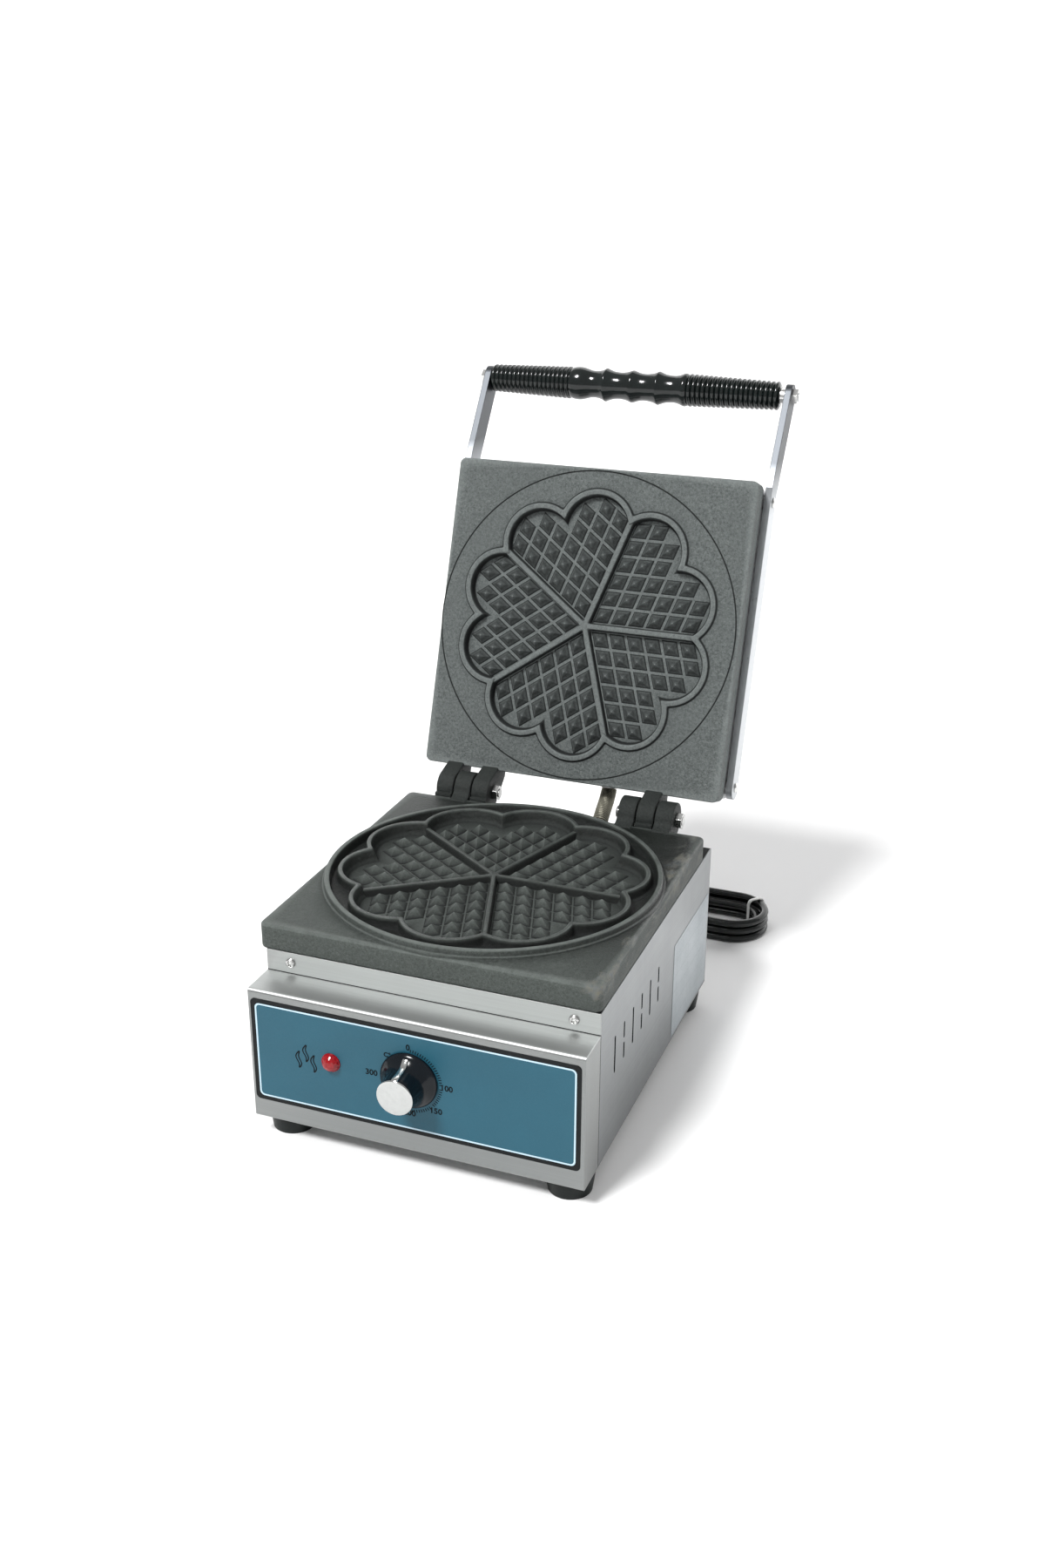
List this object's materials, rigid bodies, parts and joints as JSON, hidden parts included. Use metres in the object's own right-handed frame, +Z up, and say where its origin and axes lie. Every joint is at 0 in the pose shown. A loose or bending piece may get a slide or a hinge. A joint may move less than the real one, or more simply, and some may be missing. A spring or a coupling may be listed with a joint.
{
  "type": "waffle cone maker",
  "caption": "Countertop electric iron for heart-shaped waffles: stainless base with dial and lamp, cast plates on pinned hinges, lid with a bar handle, and a mains cord.",
  "frame": {"origin": "on the floor under the middle of the machine's box, cord left out, with the lid open as stored", "axes": "+X to the right seen from the control panel, +Y from the panel to the hinges, +Z up"},
  "size_m": [0.322, 0.5764, 0.5419],
  "materials": {
    "stainless": "brushed",
    "overlay": "satin",
    "foot_rubber": "matte",
    "zinc": "bright",
    "knob_black": "gloss",
    "knob_chrome": "satin",
    "ceramic_tan": "matte",
    "copper": "satin",
    "lens_red": "gloss",
    "white_plastic": "satin",
    "label": "satin",
    "gland_black": "satin",
    "cast_dark": "seasoned",
    "cast_grey": "as cast",
    "element": "satin",
    "insulation": "fibrous",
    "arm_steel": "satin",
    "grip_black": "gloss",
    "conduit_steel": "spiral",
    "cord_black": "gloss",
    "tie_white": "matte"
  },
  "bodies": {
    "base": {"body_shell": "stainless", "control_fascia": "stainless", "control_overlay": "overlay", "rear_panel": "stainless", "base_plate": "stainless", "rubber_feet": "foot_rubber", "foot_screws": "zinc", "strip_screws": "zinc", "base_screws": "zinc", "rear_screws": "zinc", "thermostat_body": "ceramic_tan", "thermostat_bulb": "copper", "capillary": "copper", "pilot_lamp_lens": "lens_red", "pilot_lamp_body": "white_plastic", "rating_label": "label", "terminal_block": "white_plastic", "cable_gland": "gland_black", "lower_plate": "cast_dark", "plate_bolts": "zinc", "lower_element": "element", "lower_clamp": "zinc", "lower_clamp_bolt": "zinc", "lower_insulation": "insulation", "insulation_tray": "stainless", "hinge_bolts": "zinc", "hinge_nuts": "zinc", "conduit_fitting_lower": "zinc", "power_conduit": "conduit_steel", "mains_cord": "cord_black", "cord_coil": "cord_black", "cord_tail": "cord_black", "cord_tie": "tie_white", "plug": "cord_black"},
    "lid": {"upper_plate": "cast_grey", "upper_element": "element", "upper_clamp": "zinc", "upper_clamp_bolt": "zinc", "upper_insulation": "insulation", "upper_cover": "stainless", "cover_screws": "zinc", "handle_arm_left": "arm_steel", "handle_arm_right": "arm_steel", "arm_bolts": "zinc", "handle_rod": "zinc", "handle_grip": "grip_black", "handle_spacer": "zinc", "handle_nuts": "zinc", "conduit_fitting_upper": "zinc"},
    "knob": {"control_knob": "knob_black", "knob_cap": "knob_chrome", "thermostat_spindle": "zinc"}
  },
  "joints": [
    {"name": "lid_hinge", "type": "hinge", "parent": "base", "child": "lid", "pos_m": [0, 0.0793, 0.1783], "axis": [1, 0, 0], "range_deg": [0, 109.3], "deforming": ["power_conduit"]},
    {"name": "knob_turn", "type": "hinge", "parent": "base", "child": "knob", "pos_m": [-0.0005, -0.26985, 0.0845], "axis": [0, 1, 0], "range_deg": [0, 270]}
  ]
}
